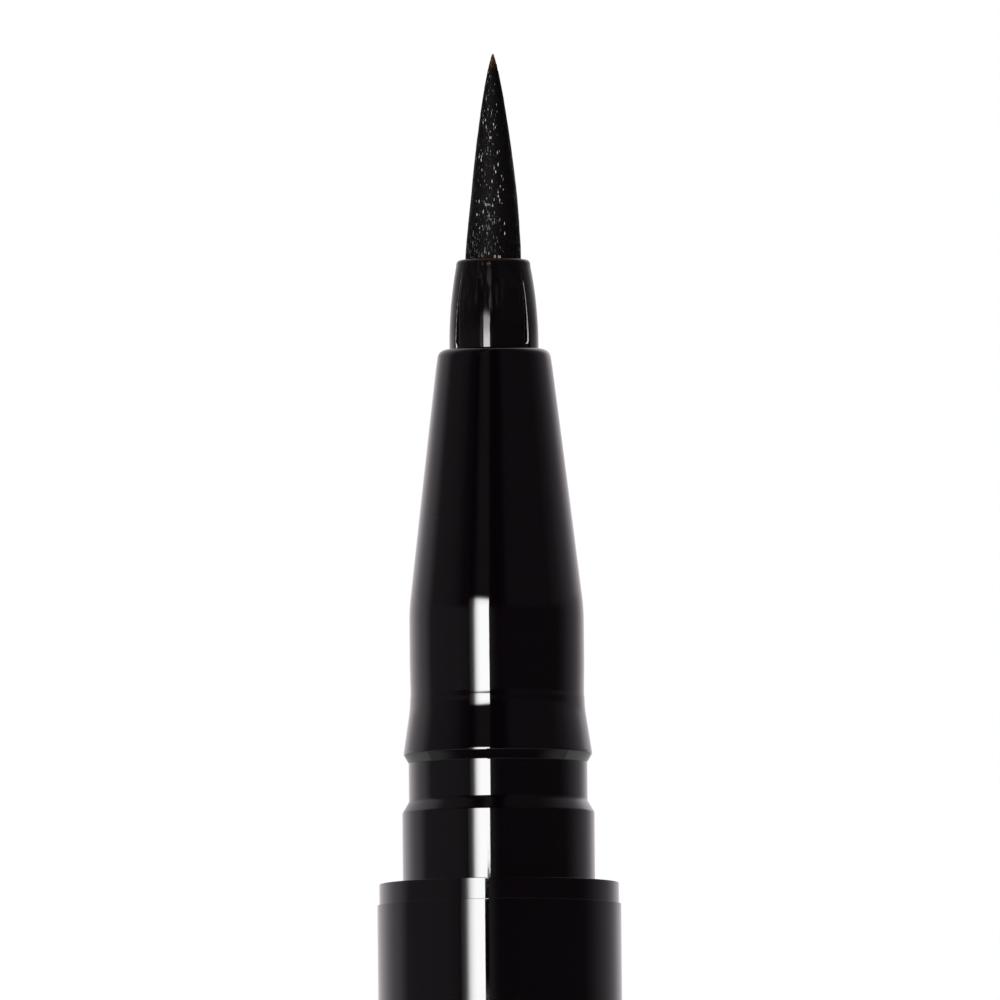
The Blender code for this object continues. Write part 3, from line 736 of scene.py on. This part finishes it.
def makeBrushTip(size):
    rng = random.Random(size["seed"])
    template = makeStrandTemplate(size)
    shape = bmesh.new()
    footZ = mouthZ + bristleHolder["height"]
    thickness = size["radius"] * math.sqrt(size["fill"] / size["strands"])
    outermost = size["radius"] - thickness
    for number in range(size["strands"]):
        placeShare = math.sqrt((number + 0.5) / size["strands"])
        around = number * math.pi * (3 - math.sqrt(5))  # the golden angle spreads them evenly
        meets = strandReach(placeShare, size)  # from there it bends in along the bundle's outside
        reach = meets + (1 - meets) * rng.uniform(size["followLeast"], size["follow"])
        if number < size["central"]:
            reach = 1.0 - size["centralDrop"] * (number % size["centralRows"])
        strayX, strayY = rng.uniform(-1, 1), rng.uniform(-1, 1)
        phase = rng.uniform(0, 2 * math.pi)
        before = len(shape.verts)
        shape.from_mesh(template)
        shape.verts.ensure_lookup_table()
        for vertex in shape.verts[before:]:
            up = vertex.co.z
            height = -size["sunk"] + (size["length"] * reach + size["sunk"]) * up
            heightShare = max(0.0, height / size["length"])
            gather = min(placeShare * gatherShare(heightShare, size), bundleShare(heightShare, size))
            taper = 1 - size["thinUp"] * up if up < size["pointFrom"] else size["pointThin"]
            taper *= 1 - size["thinAlong"] * heightShare
            waver = size["stray"] * math.sin(size["waves"] * math.pi * up + phase) * up
            lean = size["set"] * min(1.0, heightShare / size["setHeight"])
            middleX = outermost * gather * math.cos(around) + waver * strayX + lean
            middleY = outermost * gather * math.sin(around) + waver * strayY
            vertex.co.x = (middleX + vertex.co.x * thickness * taper) * mm
            vertex.co.y = (middleY + vertex.co.y * thickness * taper) * mm
            vertex.co.z = (footZ + height) * mm
    root = bmesh.new()
    outline = [
        (0.0, size["rootTop"], 0.0), (size["rootRadius"], size["rootTop"], 0.0),
        (size["rootRadius"], -size["rootDepth"], 0.0), (size["flangeRadius"], -size["rootDepth"], 0.0),
        (size["flangeRadius"], size["flangeFoot"], 0.0), (size["recessRadius"], size["flangeFoot"], 0.0),
        (size["recessRadius"], size["flangeFoot"] + size["recess"], 0.0),
        (0.0, size["flangeFoot"] + size["recess"] + size["recessPoint"], 0.0),
    ]
    drawOutline(root, outline, mouthZ)
    spinShape(root, size["rootSteps"])
    rootMesh = bpy.data.meshes.new("bristleRoot")
    root.to_mesh(rootMesh)
    root.free()
    shape.from_mesh(rootMesh)
    piece = finishPiece("brushTip", shape, wetBristle, "pen", ["brush_tip"], sharpAngle=80.0)
    for mesh in (template, rootMesh):
        bpy.data.meshes.remove(mesh)
    print("brush faces", len(piece.data.polygons))


print("gathering the bristles")
makeBrushTip(brushTip)

# Studio: a white surround behind, dark in front, one tall softbox at the front left, and a card that paints a
# dark reflection of the floor. Distances are in metres here, and that card's two fade marks in millimetres.

studio = {
    # degrees round from the photographed side, left is negative, and how bright the surround is there
    "surroundLow": ((-180, 1.0), (-150, 1.1), (-140, 1.05), (-130, 0.84), (-120, 0.64), (-110, 0.54), (-102, 0.31),
                    (-97, 0.16), (-60, 0.165), (-50, 0.16), (-44, 0.14), (-38, 0.11), (-20, 0.02), (-12, 0.25),
                    (-7, 0.18), (-4, 0.09), (-1, 0.04), (3, 0.028), (20, 0.034), (88, 0.045), (98, 0.11),
                    (110, 0.24), (120, 0.34), (130, 0.46), (140, 0.68), (150, 0.95), (160, 1.0), (180, 0.9)),
    "surroundHigh": ((-180, 0.75), (-150, 0.9), (-130, 0.72), (-120, 0.6), (-110, 0.5), (-99, 0.22), (-94, 0.14),
                     (-70, 0.135), (-60, 0.11), (-52, 0.07), (-45, 0.022), (-36, 0.026), (-30, 0.05), (-24, 0.125),
                     (-18, 0.15), (-14, 0.11), (-11, 0.045), (-8, 0.012), (-4, 0.0), (7, 0.0), (11, 0.02),
                     (16, 0.06), (25, 0.068), (76, 0.068), (94, 0.14), (110, 0.28), (120, 0.38), (130, 0.58),
                     (140, 1.0), (150, 1.35), (160, 1.2), (180, 1.0)),
    "surroundTint": (1.03, 0.96, 1.02), "highFrom": 0.12, "highTo": 0.18,
    "fill": (0.75, 0.75, 0.75), "backdrop": (1.0, 1.0, 1.0),
    "floorSize": 3.0, "floorSides": 96, "floorColour": (0.86, 0.86, 0.86), "floorShade": 0.97,
    "grainSize": 0.6, "grainFrom": 0.3, "grainTo": 0.7, "floorRoughness": 0.9,
    "boxDistance": 0.5, "boxRight": -9.7, "boxLeft": -38.0, "boxFoot": 0.004, "boxTop": 0.384,
    "boxStrength": 24.0, "boxSoft": 6.0,
    "boxAcross": ((0.0, 0.0), (0.02, 1.0), (0.42, 1.0), (0.49, 0.92), (0.54, 0.85), (0.585, 0.74), (0.63, 0.6),
                  (0.675, 0.4), (0.72, 0.19), (0.767, 0.083), (0.82, 0.037), (0.9, 0.018), (1.0, 0.0)),
    "boxUp": ((0.0, 0.6), (0.06, 1.0), (0.57, 1.0), (0.625, 0.88), (0.65, 0.72), (0.668, 0.32), (0.69, 0.05),
              (0.714, 0.004), (1.0, 0.004)),
    "flagHeight": 0.153, "flagSoft": 0.0001, "flagWidth": 0.135,
    # the card that only reflections see is a painted dark reflection of the floor, black in front and grey behind
    "cardNear": -0.07, "cardFar": 0.45, "cardHalf": 0.4, "cardLift": 0.001, "cardDark": -60.0, "cardPale": 20.0,
    "cardReflectionDark": (0.03, 0.03, 0.03), "cardReflectionGrey": (0.45, 0.45, 0.45),
}


def fillRamp(ramp, stops, tint=(1.0, 1.0, 1.0)):
    while len(ramp.elements) > 1:
        ramp.elements.remove(ramp.elements[-1])
    for number, (position, value) in enumerate(stops):
        element = ramp.elements[0] if number == 0 else ramp.elements.new(position)
        element.position = position
        element.color = (*(value * part for part in tint), 1.0)


def makeSurround(look):
    world = bpy.data.worlds.new("studioSurround")
    bpy.context.scene.world = world
    world.use_nodes = True
    tree = world.node_tree
    tree.nodes.clear()
    output = addNode(tree, "ShaderNodeOutputWorld")
    coordinates = addNode(tree, "ShaderNodeTexCoord")
    split = splitPlace(tree, coordinates.outputs["Generated"])
    away = addMath(tree, "MULTIPLY", split["Y"], -1.0)
    around = addMath(tree, "ARCTAN2", split["X"], away)
    turn = addMath(tree, "ADD", addMath(tree, "DIVIDE", around, 2 * math.pi), 0.5)
    ramps = []
    for part in ("surroundLow", "surroundHigh"):
        ramp = addNode(tree, "ShaderNodeValToRGB", part)
        tree.links.new(turn, ramp.inputs[0])
        fillRamp(ramp.color_ramp, [((degrees + 180) / 360, value) for degrees, value in look[part]],
                 look["surroundTint"])
        ramps.append(ramp.outputs[0])
    high = mapRange(tree, split["Z"], look["highFrom"], look["highTo"])
    path = addNode(tree, "ShaderNodeLightPath")
    mirrored = addMath(tree, "MAXIMUM", path.outputs["Is Glossy Ray"], path.outputs["Is Transmission Ray"])
    seen = mixColour(tree, mirrored, look["fill"], mixColour(tree, high, *ramps))
    shown = mixColour(tree, path.outputs["Is Camera Ray"], seen, look["backdrop"])
    background = addNode(tree, "ShaderNodeBackground")
    tree.links.new(shown, background.inputs["Color"])
    tree.links.new(background.outputs[0], output.inputs["Surface"])


def addStage(name, shape, material):
    mesh = bpy.data.meshes.new(name)
    shape.to_mesh(mesh)
    shape.free()
    mesh.materials.append(material)
    thing = bpy.data.objects.new(name, mesh)
    bpy.context.scene.collection.objects.link(thing)
    return thing


def makeSoftbox(look):
    # A card that glows towards the pen. It fades at the left and at the top, and a flag cuts its lower right.
    middle = math.radians((look["boxRight"] + look["boxLeft"]) / 2)
    half = look["boxDistance"] * math.tan(math.radians((look["boxRight"] - look["boxLeft"]) / 2))
    material = bpy.data.materials.new("softboxGlow")
    material.use_nodes = True
    tree = material.node_tree
    tree.nodes.clear()
    output = addNode(tree, "ShaderNodeOutputMaterial")
    glow = addNode(tree, "ShaderNodeEmission")
    coordinates = addNode(tree, "ShaderNodeTexCoord")
    split = splitPlace(tree, coordinates.outputs["UV"])
    tall = look["boxTop"] - look["boxFoot"]
    low = mapRange(tree, split["Y"], (look["flagHeight"] + look["flagSoft"]) / tall,
                   (look["flagHeight"] - look["flagSoft"]) / tall)
    inward = addMath(tree, "SUBTRACT", split["X"], addMath(tree, "MULTIPLY", low, look["flagWidth"]))
    clear = addMath(tree, "GREATER_THAN", inward, 0.0)
    across = addNode(tree, "ShaderNodeValToRGB")
    fillRamp(across.color_ramp, look["boxAcross"])
    tree.links.new(split["X"], across.inputs[0])
    up = addNode(tree, "ShaderNodeValToRGB")
    fillRamp(up.color_ramp, look["boxUp"])
    tree.links.new(split["Y"], up.inputs[0])
    share = addMath(tree, "MULTIPLY", addMath(tree, "MULTIPLY", across.outputs[0], up.outputs[0]), clear)
    path = addNode(tree, "ShaderNodeLightPath")
    soft = addMath(tree, "MULTIPLY", path.outputs["Is Diffuse Ray"], look["boxStrength"] - look["boxSoft"])
    strength = addMath(tree, "SUBTRACT", look["boxStrength"], soft)
    tree.links.new(addMath(tree, "MULTIPLY", share, strength), glow.inputs["Strength"])
    tree.links.new(glow.outputs[0], output.inputs["Surface"])
    shape = bmesh.new()
    uv = shape.loops.layers.uv.new("card")
    bmesh.ops.create_grid(shape, x_segments=1, y_segments=1, size=0.5, calc_uvs=False)
    for face in shape.faces:
        for loop in face.loops:
            loop[uv].uv = (loop.vert.co.x + 0.5, loop.vert.co.y + 0.5)
    bmesh.ops.scale(shape, vec=(2 * half, tall, 1), verts=shape.verts)
    bmesh.ops.rotate(shape, cent=(0, 0, 0), matrix=Matrix.Rotation(math.radians(90), 3, "X"), verts=shape.verts)
    bmesh.ops.rotate(shape, cent=(0, 0, 0), matrix=Matrix.Rotation(middle + math.pi, 3, "Z"), verts=shape.verts)
    spot = (math.sin(middle) * look["boxDistance"], -math.cos(middle) * look["boxDistance"],
            (look["boxTop"] + look["boxFoot"]) / 2)
    bmesh.ops.translate(shape, vec=spot, verts=shape.verts)
    card = addStage("softbox", shape, material)
    card.visible_camera = False
    card.visible_shadow = False


def makeDarkReflectionCard(look):
    # A painted dark reflection: a sheet on the floor in front of the pen and a little behind it, where it turns
    # grey. Only reflections see it, and it keeps the floor's shine out of the pen's undercuts by painting them
    # dark.
    material, tree, shader, place = startMaterial("paintedDarkReflection", specular=0.0)
    fade = mapRange(tree, splitPlace(tree, place)["Y"], look["cardDark"], look["cardPale"])
    tree.links.new(mixColour(tree, fade, look["cardReflectionDark"], look["cardReflectionGrey"]), shader.inputs["Base Color"])
    shader.inputs["Roughness"].default_value = 1.0
    shape = bmesh.new()
    bmesh.ops.create_grid(shape, x_segments=1, y_segments=1, size=0.5)
    bmesh.ops.scale(shape, vec=(2 * look["cardHalf"], look["cardFar"] - look["cardNear"], 1), verts=shape.verts)
    middle = -(look["cardFar"] + look["cardNear"]) / 2
    bmesh.ops.translate(shape, vec=(0, middle, look["cardLift"]), verts=shape.verts)
    card = addStage("paintedDarkReflection", shape, material)
    card.visible_camera = card.visible_diffuse = card.visible_shadow = card.visible_transmission = False


def makeFloor(look):
    material, tree, shader, place = startMaterial("floorPaper")
    grain = useGroup(tree, rippleGroup, place, Size=look["grainSize"], Draw=1.0)
    mottle = mapRange(tree, grain, look["grainFrom"], look["grainTo"])
    pale = look["floorColour"]
    tone = mixColour(tree, mottle, tuple(part * look["floorShade"] for part in pale), pale)
    tree.links.new(tone, shader.inputs["Base Color"])
    shader.inputs["Roughness"].default_value = look["floorRoughness"]
    shape = bmesh.new()
    bmesh.ops.create_circle(shape, cap_ends=True, segments=look["floorSides"], radius=look["floorSize"])
    addStage("studioFloor", shape, material)


print("setting the studio")
makeSurround(studio)
makeSoftbox(studio)
makeDarkReflectionCard(studio)
makeFloor(studio)

# The camera looks just beside the pen's middle line. Its distance and clip range are in metres, and its
# angles in degrees.

view = {
    "pixelsPerMm": 23.46, "tipRow": 52.4, "middleShift": 0.194, "lean": 0.54, "elevation": -3.7,
    "distance": 1.9, "imageSize": 1000, "sensorWidth": 36.0, "clipNear": 0.01, "clipFar": 50.0,
}


def makeCamera(look):
    width = look["imageSize"] / look["pixelsPerMm"] * mm
    data = bpy.data.cameras.new("photoCamera")
    data.sensor_width = look["sensorWidth"]
    data.lens = look["sensorWidth"] * look["distance"] / width
    data.clip_start = look["clipNear"]
    data.clip_end = look["clipFar"]
    camera = bpy.data.objects.new("photoCamera", data)
    bpy.context.scene.collection.objects.link(camera)
    belowTip = (look["imageSize"] / 2 - look["tipRow"]) / look["pixelsPerMm"]
    target = Vector((look["middleShift"] * mm, 0, (tipZ - belowTip) * mm))
    rise = math.radians(look["elevation"])
    toCamera = Vector((0, -math.cos(rise), math.sin(rise)))
    camera.location = target + toCamera * look["distance"]
    aim = (-toCamera).to_track_quat("-Z", "Y").to_matrix().to_4x4()
    roll = Matrix.Rotation(math.radians(-look["lean"]), 4, "Z")
    camera.rotation_euler = (aim @ roll).to_euler()
    bpy.context.scene.camera = camera


makeCamera(view)
bpy.context.scene.view_settings.view_transform = "Standard"

print("eyeliner pen ready")
